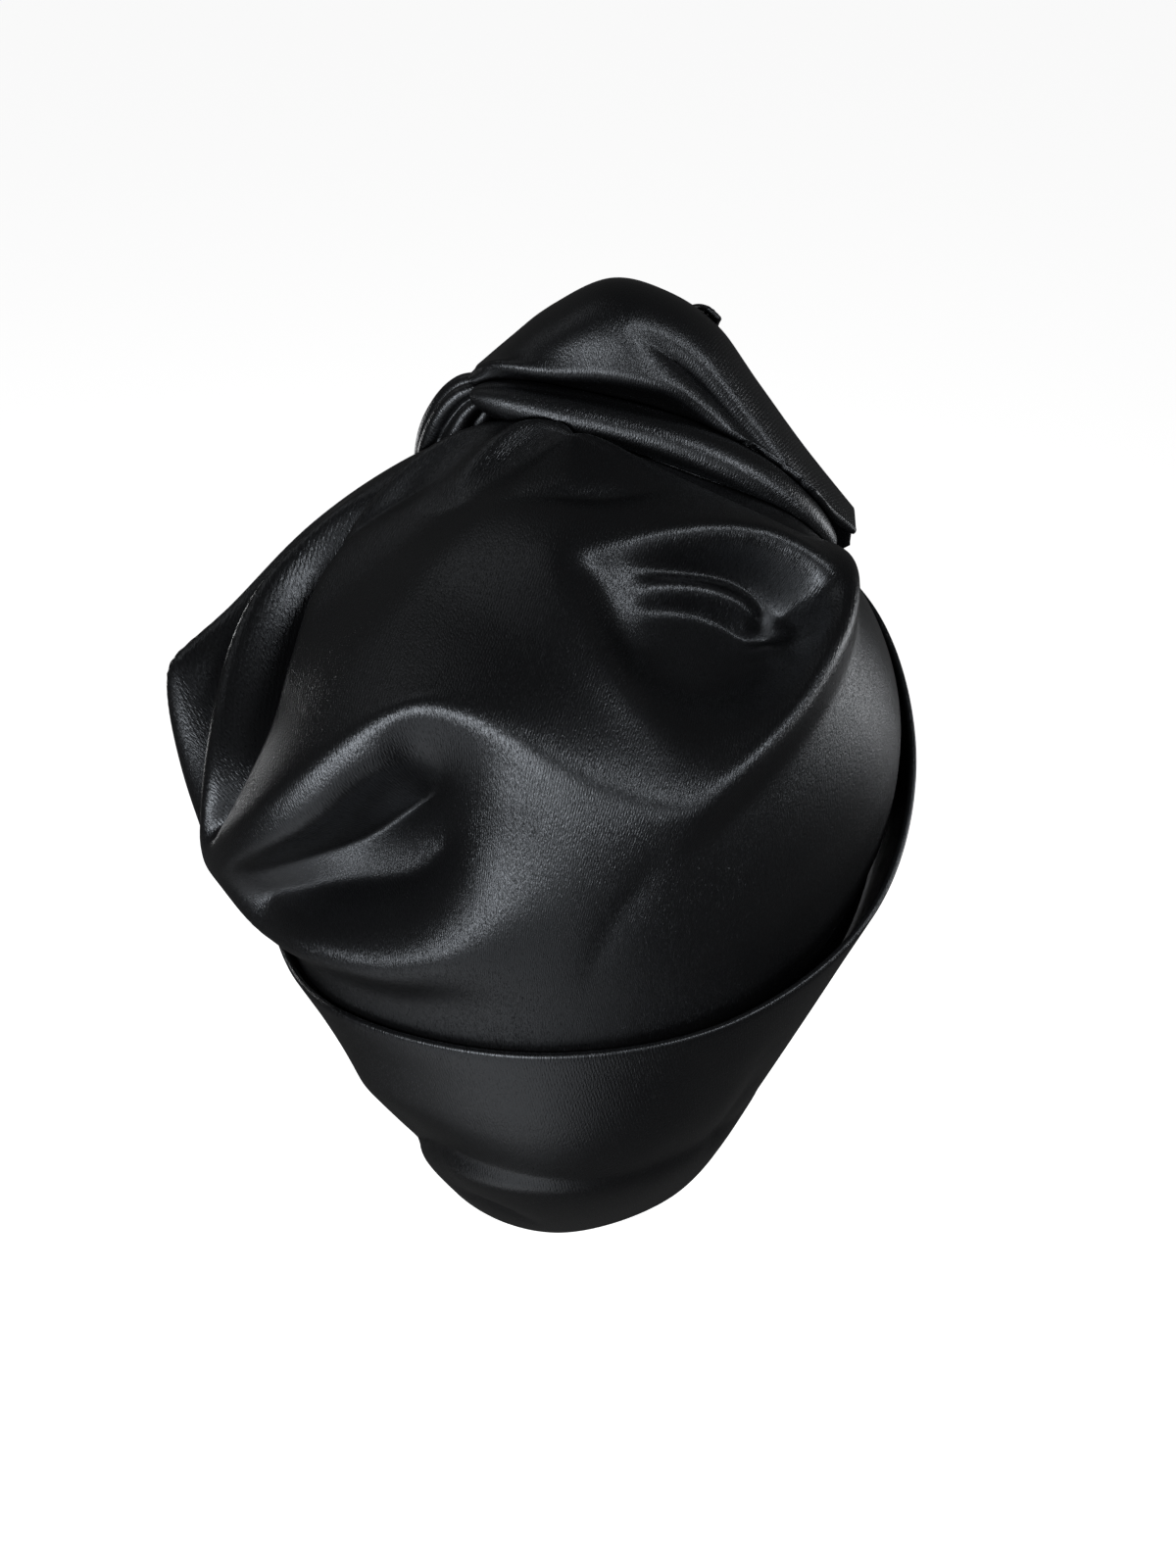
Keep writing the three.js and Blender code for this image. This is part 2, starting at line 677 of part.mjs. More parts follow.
// The pieces. Each room is a piece grown by the gap, and what lies against that piece is cut to it.
const crownSolid = wall(crownGrid, crownAngles.length, crownRows, CROWN_WALL, { ring: true, capped: true });
const crownRoom = filled(crownGrid, crownAngles.length, crownRows, CROWN_WALL / 2 + GAP);
const bandGrid = (u, v) => bandPoint(360 * u, v);
const bandSolid = wall(bandGrid, BAND_STEPS.round, BAND_STEPS.up, BAND_WALL, { ring: true });
const rollSolid = seated(woundSolid(ROLL, ROLL_STEPS), crownRoom);
const rollRoom = woundSolid(ROLL, ROLL_STEPS, ROLL_GAP);
const roomGrid = (u, v) => bandGrid(u, v * (1 + GAP / BAND_HEIGHT));
const bandRoom = wall(roomGrid, BAND_STEPS.round, BAND_STEPS.up, BAND_WALL + 2 * GAP, { ring: true });
const loopWall = wall(loopPoint, LOOP_STEPS.along, LOOP_STEPS.over, LOOP_WALL);
const loopSolid = seated(loopWall, crownRoom, rollRoom, bandRoom);
const tuckSolid = seated(woundSolid(TUCKED, TUCK_STEPS), crownRoom, rollRoom);
const tailSolid = seated(wall(tailPoint, TAIL_STEPS.along, TAIL_STEPS.across, TAIL_WALL), bandRoom);

function namedMesh(name, solid) {
  const made = solid.getMesh();
  const geometry = new THREE.BufferGeometry()
    .setAttribute("position", new THREE.BufferAttribute(new Float32Array(made.vertProperties), 3))
    .setIndex(new THREE.BufferAttribute(new Uint32Array(made.triVerts), 1));
  geometry.computeVertexNormals();
  const mesh = new THREE.Mesh(geometry, new THREE.MeshStandardMaterial(SATIN));
  mesh.name = name;
  return mesh;
}

const headwrap = new THREE.Group();
headwrap.add(
  namedMesh("crown", crownSolid),
  namedMesh("head_band", bandSolid),
  namedMesh("knot_loop", loopSolid),
  namedMesh("knot_roll", rollSolid),
  namedMesh("knot_tuck", tuckSolid),
  namedMesh("knot_tail", tailSolid),
);

export default headwrap;
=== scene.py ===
# Turban headwrap in black satin: a loose gathered bag, a wide band round the head and a looped knot. Shapes
# are worked out in millimetres and written to the meshes in metres. The wearer faces -Y, the wearer's left
# is +X, and the camera stands behind the wearer, as in the photograph.
import math

import bpy
import numpy as np
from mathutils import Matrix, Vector
from mathutils.bvhtree import BVHTree


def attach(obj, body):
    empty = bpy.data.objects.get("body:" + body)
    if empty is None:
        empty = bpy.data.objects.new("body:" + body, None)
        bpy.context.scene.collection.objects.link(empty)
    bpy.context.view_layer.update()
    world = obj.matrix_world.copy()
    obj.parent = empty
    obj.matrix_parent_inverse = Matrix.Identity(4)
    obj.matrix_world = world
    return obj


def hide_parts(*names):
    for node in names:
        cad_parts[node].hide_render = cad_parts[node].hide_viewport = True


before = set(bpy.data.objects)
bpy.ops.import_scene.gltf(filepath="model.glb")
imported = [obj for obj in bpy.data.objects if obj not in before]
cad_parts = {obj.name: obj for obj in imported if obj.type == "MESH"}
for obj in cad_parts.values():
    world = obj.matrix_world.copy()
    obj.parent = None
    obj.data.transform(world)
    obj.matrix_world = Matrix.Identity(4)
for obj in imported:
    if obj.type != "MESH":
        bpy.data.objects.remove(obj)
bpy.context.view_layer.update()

MM = 0.001

# Driving dimensions
CROWN_WALL = 1.6
BAND_WALL = 2.2
LOOP_WALL = 2.0
TAIL_WALL = 1.6
GATHER = np.array([5.0, -26.0, 143.0])  # where the bag runs together under the knot
HEART = np.array([0.0, 0.0, 50.0])  # middle of the bag, from which it swells
CLOTH_REACH = 185.0  # cloth from the gather to the band, the unit of the flattened crown
TUCK = 18.0  # how far the bag goes down inside the band
POCKET = 13.0  # how much of that stays clear of the band, for the foot of the knot
SNUG = 2.9  # between the middles of both walls where the bag is sewn in
BAND_HEIGHT = 100.0  # from edge to edge at the back
BAND_GIRTH = 560.0  # round the head
CLEAR = 0.35  # left between pieces that lie on each other

# How finely each piece is cut into faces
CROWN_ROWS_DOWN = 116
CROWN_ROWS_TUCKED = 6
CROWN_COLUMNS = [(-112, 38, 150), (38, 122, 150), (122, 248, 60)]  # from, to, columns
BAND_STEPS = (260, 48)
LOOP_STEPS = (110, 90)
TAIL_STEPS = (60, 36)
ROLL_STEPS = (120, 64)
TUCK_STEPS = (70, 90)
RIM_ANGLES = [45, 90, 135]  # where a cloth's round edge has its points, in degrees
LINE_POINTS = 600  # points drawn along each line of the bag's folds
FOLD_POINTS = 33  # points drawn along each small fold
TEXTURE_UNIT = 100.0  # millimetres of cloth for each unit of the weave's texture

# How the bag is pulled tight between its lines: the spacing of the points in each pass, in millimetres, how
# far the grid reaches from the gather, the share of the cloth at the gather that stays plain, and how often
# it is evened.
DRAPE_STEPS = [8.0, 4.0, 2.0, 1.0]
DRAPE_REACH = 192.0
DRAPE_START = 0.06
DRAPE_TURNS = 300
CRISP_TURNS = 12
ROUND_TURNS = 120

# Where the folds fade out, as shares of the cloth: towards the bag's rim and its gather, and the band's
# upper edge
RIM_FADE = 0.1
GATHER_FADE = 0.12
BAND_FADE = 0.15

# The band's two edges round the head: around, low x, y, z, top x, y, z and belly, how far it swells between
# them. around is in degrees: 0 at the back, 90 at the wearer's left, 180 in front.
BAND_ROWS = [
    (0, 0, 66, -75, 0, 99, 24, 13),
    (35, 31, 56, -74, 54, 80, 16, 5),
    (65, 46, 33, -67, 84, 42, 9, -1),
    (90, 61, 5, -52, 97, 0, 22, -2),
    (120, 70, -38, -24, 85, -48, 50, 2),
    (150, 44, -77, -6, 49, -84, 82, 3),
    (180, 0, -99, 0, 0, -99, 98, 3),
    (210, -44, -77, -5, -50, -85, 96, 3),
    (240, -70, -38, -20, -85, -48, 84, 1),
    (270, -66, 2, -38, -97, 0, 60, -1),
    (300, -53, 34, -52, -85, 47, 38, 0),
    (330, -33, 56, -67, -49, 85, 28, 6),
]

# The bag before its folds: around, slack, bulge and fullness. slack is its distance inside the band's edge,
# bulge how far it swells over the band, and fullness is 1 for a straight run up to the gather, 2 for round.
CROWN_ROWS = [
    (0, 3, 0.12, 2.5),
    (35, 3, 0.24, 2.7),
    (65, 3.4, 0.38, 2.7),
    (90, 3.4, 0.34, 2.3),
    (120, 4, 0.08, 1.9),
    (150, 8, 0.0, 1.4),
    (180, 9, 0.0, 1.1),
    (210, 8, 0.0, 1.2),
    (240, 5, 0.0, 1.35),
    (270, 5, 0.04, 1.75),
    (300, 7, 0.12, 2.4),
    (330, 5, 0.11, 2.5),
]

# The bag is pulled tight between the lines of its folds, drawn on the flattened bag. Each line has its
# softness, 0 for a crisp fold and 1 for a round one, how far it leans to the left and to the back, and rows
# of left, back (millimetres of cloth from the gather) and rise above the plain bag.
CROWN_LINES = {
    "long_ridge": (0.0, 0, 2, [
        (135, 68, 8), (108, 80, 9), (88, 86, 11), (65, 88, 13), (43, 84, 14), (28, 84, 15),
    ]),
    "roll_foot": (0.1, 0, 3, [
        (126, 76, 8), (104, 87, 9), (84, 95, 10), (66, 98, 10), (50, 95, 10), (38, 94, 9),
    ]),
    "back_ridge": (0.0, 0, 0, [(28, 84, 15), (11, 93, 13), (-6, 104, 11), (-26, 112, 10), (-48, 115, 12)]),
    "right_rim": (0.0, 0, 0, [
        (-48, 115, 12), (-62, 98, 14), (-74, 78, 14), (-83, 55, 14), (-92, 32, 12), (-104, 2, 6),
    ]),
    "face": (1.0, 0, 0, [(34, 30, 2), (18, 50, 2), (0, 70, 4), (-18, 90, 6), (-40, 102, 8)]),
    "left_lip": (0.3, 0, 0, [
        (137, 75, 7), (138, 88, 7), (126, 108, 7), (105, 127, 8), (66, 150, 8), (30, 156, 7),
    ]),
    "right_lip": (1.0, 0, 0, [(30, 156, 7), (12, 148, 5), (2, 130, 4), (8, 112, 7)]),
    "left_throat": (0.1, 0, 0, [
        (108, 94, 0), (90, 101, -8), (68, 105, -14), (52, 101, -17), (40, 98, -17), (32, 102, -10),
    ]),
    "left_bottom": (0.3, 0, 0, [
        (120, 98, -2), (104, 112, -8), (82, 122, -11), (60, 128, -12), (44, 127, -11), (32, 120, -9),
    ]),
    "bowl_start": (0.2, 0, 0, [(2, 40, 4), (-3, 52, 5), (-12, 69, 6), (-25, 88, 7), (-33, 100, 8)]),
    "brow": (0.0, 0, 3, [(-6, 42, 3), (-20, 36, 5), (-45, 30, 8), (-67, 29, 9), (-88, 32, 9)]),
    "brow_trough": (0.0, 0, 0, [
        (-22, 45, -2), (-34, 41, -6), (-50, 37, -9), (-66, 37, -11), (-80, 40, -11),
    ]),
    "left_patch": (0.5, 0, 0, [(-10, 46, 0), (-15, 53, -3), (-20, 62, -6), (-26, 70, -7)]),
    "tongue": (0.0, 0, 1, [(-22, 50, -2), (-34, 46, -1), (-50, 44, -3), (-64, 46, -8)]),
    "right_floor": (0.2, 0, 0, [
        (-26, 54, -7), (-36, 50, -9), (-50, 48, -12), (-64, 50, -16), (-78, 48, -16),
    ]),
    "right_bottom": (0.5, 0, 0, [(-32, 72, -5), (-44, 77, -7), (-58, 74, -9), (-70, 62, -12)]),
    "right_outer": (0.3, 0, 0, [
        (-50, 126, 6), (-66, 108, 5), (-82, 86, 5), (-94, 62, 4), (-102, 38, 3), (-110, 8, 2),
    ]),
    "side_edge": (0.0, 0, 0, [(135, 68, 8), (130, 54, 5), (119, 36, 8), (108, 17, 18)]),
    "right_shoulder": (0.7, 0, 0, [
        (-12, -18, -3), (-28, -8, -8), (-46, -2, -10), (-66, 2, -9), (-86, 4, -4),
    ]),
    "front_edge": (0.0, 0, 0, [(108, 17, 18), (100, 1, 7), (86, -18, 5), (67, -29, 3), (44, -32, 1)]),
    "corner_hollow": (0.0, 0, 0, [(122, 58, 2), (111, 44, -3), (102, 26, -2), (95, 8, -2), (82, -10, 0)]),
    "side_flap": (0.0, -2, 0, [
        (134, 68, 8), (108, 68, 9), (94, 48, 9), (87, 26, 9), (80, 6, 8), (66, -14, 3),
    ]),
    "side_pocket": (0.0, 0, 0, [(106, 74, 1), (84, 58, -7), (75, 32, -13), (68, 8, -12), (54, -10, -4)]),
    "face_edge": (0.0, 3, 0, [
        (128, 68, 8), (94, 78, 8), (70, 64, 6), (61, 40, 5), (56, 11, 4), (46, -4, 3), (30, -12, 2),
    ]),
    "low_fold": (1.0, 0, 0, [(70, 166, 2), (36, 168, 2), (0, 166, 2), (-40, 158, 2)]),
}

# Small folds on the tight cloth: the radius of the fold's back, the cloth drawn in on its left and on its
# right, and rows of left, back, rise, and lean, which carries it to its right.
CROWN_FOLDS = {
    "knot_hump": (2.5, 5, 6, [(12, -14, 1, 0), (17, -6, 4, 0), (21, 2, 3, 0), (24, 12, 0, 0)]),
    "left_pleat": (2, 4, 9, [(26, -18, 1, 0), (40, -12, 4, 0), (52, -2, 4, 0), (60, 10, 1, 0)]),
    "left_crease": (1.5, 4, 5, [(34, 2, -1, 0), (46, 2, -3, 0), (58, 10, -2, 0), (64, 18, 0, 0)]),
    "right_crease": (1, 3, 4, [(8, 18, -1, 0), (-2, 20, -3, 0), (-10, 20, -3, 0), (-22, 18, -1, 0)]),
    "body_crease": (2, 5, 4, [(-46, 122, 0, 0), (-38, 134, -1, 0), (-30, 148, -1, 0), (-24, 162, -0.5, 0)]),
}

# The knot's loop: x, then y and z of its foot towards the bag, of its ridge and of its front foot, and its
# swell.
LOOP_ROWS = [
    (37, -48, 151, -60, 151, -78, 128, 0.05),
    (27, -46, 152, -61, 159, -86, 108, 0.12),
    (14, -45, 152, -62, 168, -92, 94, 0.2),
    (-2, -45, 150, -62, 175.5, -94, 88, 0.24),
    (-17, -45, 147, -62, 172.5, -93, 86, 0.24),
    (-31, -44, 142, -62, 164, -89, 86, 0.2),
    (-46, -43, 133, -62, 147, -82, 86, 0.16),
    (-61, -42, 122, -61, 129, -72, 88, 0.1),
    (-77, -46, 110, -60, 111, -64, 98, 0),
]
LOOP_LENGTH = 140.0
LOOP_GIRTH = 90.0

# Small folds of the loop, in the same columns as the bag's: place along and over it in millimetres, rise
# and lean
LOOP_FOLDS = {
    "arched_ridge": (1.2, 4, 5, [
        (4, 26, 1, 0), (20, 15, 3, 0), (39, 8, 4, 0), (60, 8, 4.5, 0),
        (77, 9, 4, 0), (88, 6, 3, 0), (100, 3, 2, 0),
    ]),
    "side_hollow": (3, 7, 4, [
        (60, 24, 0, 0), (76, 19, -4, 0), (90, 14, -7, 0), (104, 11, -7, 0), (118, 11, -3, 0),
    ]),
    "tip_ridge": (2, 5, 5, [(96, 3, 1, 0), (110, 4, 3, 0), (122, 7, 3, 0), (130, 12, 1, 0)]),
    "long_fold": (4, 8, 8, [(30, 52, 1, 0), (60, 62, 3, 0), (90, 56, 2, 0)]),
}
# Hollows of the loop: place along and over it, half length and half width, turn in degrees, depth and
# steepness
LOOP_HOLLOWS = [
    (50, 2, 30, 5, 0, 2, 3),  # under the arched ridge
]
BACK_SWELL = 0.05  # by how much more the loop swells towards the bag

# Folds of the band, drawn on the flattened band: round it to the wearer's left and up it, in millimetres
BAND_FOLDS = {
    "under_fold": (1.5, 4, 22, [
        (84, 10, -2, 0), (58, 34, -4, 0), (34, 50, -5, 0),
        (6, 53, -4, 0), (-24, 46, -3, 0), (-54, 34, -3, 0),
        (-80, 20, -1, 0),
    ]),
    "slack_fold": (2, 5, 10, [
        (36, 40, 0, 0), (24, 46, 1.5, 0), (2, 50, 2, 0), (-20, 46, 1, 0), (-30, 42, 0, 0),
    ]),
    "hem_dent": (2, 5, 5, [(38, 18, 0, 0), (28, 24, -2, 0), (16, 22, -2.5, 0), (4, 14, 0, 0)]),
    "side_pull": (5, 10, 8, [(84, 40, 1, 0), (60, 66, 2, 0), (30, 70, 1, 0)]),
    "right_pull": (3, 7, 7, [(-60, 70, -1, 0), (-62, 50, -2, 0), (-56, 30, -1, 0)]),
}

# Wound pieces: folds round the section, how deep they are, their turn along the piece in degrees, and rows
# of the middle x, y, z with the half sizes across and up. WOUND_BLUNT is how square their ends are,
# WOUND_TIP the least share of the section that is left there, and WOUND_CREASE how narrow the creases
# between their folds are.
WOUND_BLUNT = 8
WOUND_TIP = 0.02
WOUND_CREASE = 0.7
ROLL = (3, 0.08, 200, [
    (37, -45, 148, 4, 4),
    (26, -43, 147, 7, 6),
    (10, -41, 144.5, 8.5, 7),
    (-8, -40, 141, 9, 7.5),
    (-26, -39, 136, 9.5, 8),
    (-43, -39, 128, 10, 8.5),
    (-58, -40, 117, 9, 8),
    (-71, -42, 105, 6, 6),
])
TUCKED = (7, 0.2, 50, [
    (30, -52, 148, 5, 5),
    (38, -55, 142, 9, 8),
    (44, -57, 133, 10, 9),
    (48, -61, 122, 10, 9),
    (50, -66, 110, 8, 8),
    (50, -71, 99, 4, 5),
])

# The scarf's end on the front of the loop: place along and over the loop, half width and lift
TAIL_ROWS = [
    (0.44, 1.0, 0.12, 0),
    (0.47, 0.88, 0.1, 0),
    (0.51, 0.78, 0.08, 0),
    (0.55, 0.71, 0.055, 0),
    (0.585, 0.64, 0.03, 0),
    (0.61, 0.59, 0.014, 0),
]
TAIL_RIBS = 2
TAIL_RIB_RISE = 1.2
TAIL_LIFT = 3 * CLEAR  # between the walls of the loop and the tail
TAIL_LENGTH = 60.0
TAIL_HALF_WIDE = 15.0

# How the loop is settled on what it touches: a point in the bag's hollow, the steps and the evening of each
# step, and where over the loop it stops being moved off the roll.
CROWN_INSIDE = (0, 0, 30)
SETTLE_TURNS = 8
SETTLE_BLUR = 3
ROLL_TOUCHES = (0.2, 0.4)

# The satin: its darkest and lightest colour, its least and greatest roughness, how the weave is turned and
# drawn out, how close the threads and the grain lie, and how high each stands, in metres.
SATIN_DARK = (0.0012, 0.0012, 0.0014)
SATIN_LIGHT = (0.0024, 0.0024, 0.0026)
SATIN_ROUGHNESS = (0.27, 0.37)
WEAVE_TURN = 35
WEAVE_STRETCH = (1.0, 0.3, 1.0)
THREAD_SCALE = 48.0
THREAD_HEIGHT = 0.00005
GRAIN_SCALE = 330.0
GRAIN_HEIGHT = 0.00014
NOISE_RANGE = (0.3, 0.7)  # the part of a noise's values that is spread over a range
VECTOR_SOCKETS = (7, 8, 9, 10)  # a Map Range node's vector sockets: from low, from high, to low, to high

# The photograph's camera, in metres
CAMERA_LENS = 36
CAMERA_SENSOR = 36
CAMERA_PLACE = (-0.0440, 0.3974, 0.2942)
CAMERA_LOOKS = (0.0886, -0.8434, -0.5299)

# The studio's lamps: place and size in metres, and power in watts. All of them point at LAMPS_AIM.
LAMPS = {
    "key": ((0.75, 1.2, 0.62), 0.7, 17),
    "behind": ((-0.1, 1.4, 0.75), 0.7, 2),
    "right_back": ((-0.75, 0.5, 1.0), 0.4, 5),
    "right_front": ((-1.15, -0.5, 0.1), 0.5, 4.5),
    "left_front": ((0.85, -0.8, -0.2), 0.3, 1.2),
    "left_top": ((0.9, -0.5, 1.2), 0.5, 0.5),
    "bounce": ((0.35, 0.75, -0.45), 1.0, 2.5),
}
LAMPS_AIM = (0, 0, 0.05)
ROOM_LIGHT = 0.05
FLOOR_SIZE = 24
FLOOR_HEIGHT = -0.6
FLOOR_GLOW = 0.9


def smoothstep(x, low, high):
    t = np.clip((x - low) / (high - low), 0.0, 1.0)
    return t * t * (3 - 2 * t)


def unit(v):
    return v / np.maximum(np.linalg.norm(v, axis=-1, keepdims=True), 1e-9)


def hermite(x, xs, ys):
    """A smooth curve through four neighbouring rows, for stations that need not be evenly spaced."""
    span = xs[..., 2] - xs[..., 1]
    t = ((x - xs[..., 1]) / span)[..., None]
    slope_in = (ys[..., 2, :] - ys[..., 0, :]) * (span / (xs[..., 2] - xs[..., 0]))[..., None]
    slope_out = (ys[..., 3, :] - ys[..., 1, :]) * (span / (xs[..., 3] - xs[..., 1]))[..., None]
    return (
        (2 * t**3 - 3 * t**2 + 1) * ys[..., 1, :]
        + (t**3 - 2 * t**2 + t) * slope_in
        + (3 * t**2 - 2 * t**3) * ys[..., 2, :]
        + (t**3 - t**2) * slope_out
    )


def round_table(rows):
    """Reads rows whose first column goes once round the head."""
    table = np.array(rows, float)
    stations, values = table[:, 0], table[:, 1:]
    count = len(table)

    def read(around):
        angle = np.mod(around, 360.0)
        k = np.searchsorted(stations, angle, side="right") - 1
        near = k[..., None] + np.arange(-1, 3)
        return hermite(angle, stations[near % count] + 360.0 * (near // count), values[near % count])

    return read


def along_table(rows):
    """Reads rows that are evenly spaced, from 0 at the first to 1 at the last."""
    table = np.array(rows, float)
    last = len(table) - 1

    def read(along):
        place = np.clip(np.asarray(along, float), 0.0, 1.0) * last
        k = np.minimum(np.floor(place).astype(int), last - 1)
        near = k[..., None] + np.arange(-1, 3)
        return hermite(place, near.astype(float), table[np.clip(near, 0, last)])

    return read


band_at = round_table(BAND_ROWS)
crown_at = round_table(CROWN_ROWS)
loop_at = along_table(LOOP_ROWS)
tail_at = along_table(TAIL_ROWS)


def band_point(around, up):
    """The middle of the band's wall: up is 0 at the lower edge and 1 at the upper one."""
    row = band_at(around)
    low, top, belly = row[..., 0:3], row[..., 3:6], row[..., 6:7]
    outward = low + top
    outward[..., 2] = 0
    up = np.asarray(up)[..., None]
    return low + (top - low) * up + unit(outward) * belly * np.sin(math.pi * up)


def plain_crown(around, down):
    """The bag without its folds: down is 0 at the gather, 1 at the band's edge, and more inside the band."""
    slack, bulge, fullness = np.moveaxis(crown_at(around), -1, 0)
    depth = np.maximum(down - 1, 0) * CLOTH_REACH
    edge = band_point(around, 1 - depth / BAND_HEIGHT)
    inward = -edge
    inward[..., 2] = 0
    inset = slack + (SNUG - slack) * smoothstep(depth, POCKET, TUCK)
    edge = edge + unit(inward) * inset[..., None]
    lift = math.pi / 2 * (1 - np.minimum(down, 1))
    power = 2 / fullness
    swell = 1 + bulge * np.sin(2 * lift)
    out = np.cos(lift) ** power * swell
    rise = np.maximum(np.sin(lift), 0) ** power
    bag = HEART + (edge - HEART) * out[..., None] + (GATHER - HEART) * rise[..., None]
    return np.where((down >= 1)[..., None], edge, bag)


def fold_change(fold, left, back):
    """What one fold does at places of a flattened piece: its rise, and its lean to the left and the back."""
    crest, reach_left, reach_right, rows = fold
    chain = along_table(rows)(np.linspace(0, 1, FOLD_POINTS))
    best = np.full(left.shape, np.inf)
    change = np.zeros(left.shape + (3,))
    for a, b in zip(chain[:-1], chain[1:]):
        run = b[:2] - a[:2]
        length = np.hypot(*run)
        off_left, off_back = left - a[0], back - a[1]
        t = np.clip((off_left * run[0] + off_back * run[1]) / length**2, 0, 1)
        distance = np.hypot(off_left - t * run[0], off_back - t * run[1])
        side = off_left * run[1] - off_back * run[0]
        reach = np.where(side > 0, reach_right, reach_left)
        shape = np.exp(-(np.hypot(crest, distance) - crest) / reach)
        rise = (a[2] + (b[2] - a[2]) * t) * shape
        lean = (a[3] + (b[3] - a[3]) * t) * shape
        here = np.stack([rise, lean * run[1] / length, -lean * run[0] / length], -1)
        nearer = distance < best
        best = np.where(nearer, distance, best)
        change = np.where(nearer[..., None], here, change)
    return change


def evened(field):
    """The mean of the four neighbours of each inner point of a square grid."""
    return (field[:-2, 1:-1] + field[2:, 1:-1] + field[1:-1, :-2] + field[1:-1, 2:]) / 4


def line_values(step, middle):
    """What the lines ask of the points of a square grid, and how firmly they ask it."""
    total = np.zeros((2 * middle + 1, 2 * middle + 1, 4))
    weight = np.zeros((2 * middle + 1, 2 * middle + 1))
    share = np.linspace(0, 1, LINE_POINTS)
    taper = np.sin(math.pi * share)
    for softness, lean_left, lean_back, rows in CROWN_LINES.values():
        line = along_table(rows)(share)
        values = np.stack([line[:, 2], lean_left * taper, lean_back * taper, softness + 0 * share], -1)
        place = line[:, 0:2] / step + middle
        low = np.floor(place).astype(int)
        part = place - low
        for m, n in ((0, 0), (0, 1), (1, 0), (1, 1)):
            near = np.abs(1 - m - part[:, 0]) * np.abs(1 - n - part[:, 1])
            np.add.at(total, (low[:, 0] + m, low[:, 1] + n), values * near[:, None])
            np.add.at(weight, (low[:, 0] + m, low[:, 1] + n), near)
    return total / np.maximum(weight, 1e-9)[..., None], np.minimum(weight, 1)


def draped():
    """The bag pulled tight between its lines: rise, lean to the left and to the back, over a square grid."""
    field = None
    for step in DRAPE_STEPS:
        middle = int(round(DRAPE_REACH / step))
        places = (np.arange(2 * middle + 1) - middle) * step
        left, back = np.meshgrid(places, places, indexing="ij")
        reach = np.hypot(left, back) / CLOTH_REACH
        value, firm = line_values(step, middle)
        held = (reach > 1) | (reach < DRAPE_START)
        value[held] = (0, 0, 0, 1)
        firm = np.where(held, 1, firm)[1:-1, 1:-1, None]
        asked = value[1:-1, 1:-1] * firm
        field = value if field is None else spline(field, coarse, left, back)
        for _ in range(DRAPE_TURNS):
            field[1:-1, 1:-1] = evened(field) * (1 - firm) + asked
        coarse = step
    for _ in range(CRISP_TURNS):
        field[1:-1, 1:-1] = (field[1:-1, 1:-1] + evened(field)) / 2
    soft = field.copy()
    for _ in range(ROUND_TURNS):
        soft[1:-1, 1:-1] = (soft[1:-1, 1:-1] + evened(soft)) / 2
    return field + (soft - field) * np.clip(soft[..., 3:4], 0, 1)


def spline(field, step, left, back):
    """A field over a square grid read smoothly at places of the flattened bag."""
    middle = field.shape[0] // 2
    at = [np.clip(place / step + middle, 1, 2 * middle - 2.001) for place in (left, back)]
    low_left, low_back = [np.floor(place).astype(int) for place in at]
    weights = []
    for place, low in zip(at, (low_left, low_back)):
        t = place - low
        weights.append([
            (1 - t) ** 3 / 6,
            (3 * t**3 - 6 * t**2 + 4) / 6,
            (-3 * t**3 + 3 * t**2 + 3 * t + 1) / 6,
            t**3 / 6,
        ])
    value = 0
    for m in range(4):
        for n in range(4):
            weight = (weights[0][m] * weights[1][n])[..., None]
            value = value + weight * field[low_left + m - 1, low_back + n - 1]
    return value


def relief(left, back, folds, hollows=()):
    """What folds and hollows do at places of a flattened piece: rise, and lean to the left and the back."""
    change = sum(fold_change(fold, left, back) for fold in folds.values())
    for at_left, at_back, half_long, half_wide, turn, depth, steep in hollows:
        angle = math.radians(turn)
        off_left, off_back = left - at_left, back - at_back
        long = off_left * math.cos(angle) + off_back * math.sin(angle)
        wide = off_back * math.cos(angle) - off_left * math.sin(angle)
        size = np.hypot(long / half_long, wide / half_wide)
        change[..., 0] -= depth / (1 + size**steep)
    return change


def on_cloth(left, back):
    """A place of the flattened bag on the bag without its folds."""
    return plain_crown(np.degrees(np.arctan2(left, back)), np.minimum(np.hypot(left, back) / CLOTH_REACH, 1))


def crown_grid():
    """The middle of the bag's wall with its folds, and each point's place on the flattened cloth."""
    angles = np.concatenate([np.linspace(a, b, n, endpoint=False) for a, b, n in CROWN_COLUMNS])
    downs = np.concatenate([
        np.linspace(0, 1, CROWN_ROWS_DOWN + 1),
        1 + np.linspace(0, TUCK / CLOTH_REACH, CROWN_ROWS_TUCKED + 1)[1:],
    ])
    around, down = np.meshgrid(angles, downs, indexing="ij")
    left = down * np.sin(np.radians(around)) * CLOTH_REACH
    back = down * np.cos(np.radians(around)) * CLOTH_REACH
    fade = smoothstep(1 - down, 0, RIM_FADE) * smoothstep(down, 0, GATHER_FADE)
    tight = spline(draped(), DRAPE_STEPS[-1], left, back)[..., 0:3]
    change = (relief(left, back, CROWN_FOLDS) + tight) * fade[..., None]
    leant_left = left + change[..., 1]
    leant_back = back + change[..., 2]
    step = 2.0
    along_left = on_cloth(leant_left + step, leant_back) - on_cloth(leant_left - step, leant_back)
    along_back = on_cloth(leant_left, leant_back + step) - on_cloth(leant_left, leant_back - step)
    outward = unit(np.cross(along_left, along_back))
    middle = on_cloth(leant_left, leant_back)
    outward *= np.sign(np.sum(outward * (middle - HEART), -1, keepdims=True))
    folded = middle + outward * change[..., 0:1]
    points = np.where((down >= 1)[..., None], plain_crown(around, down), folded)
    return points, np.stack([left, back], -1)


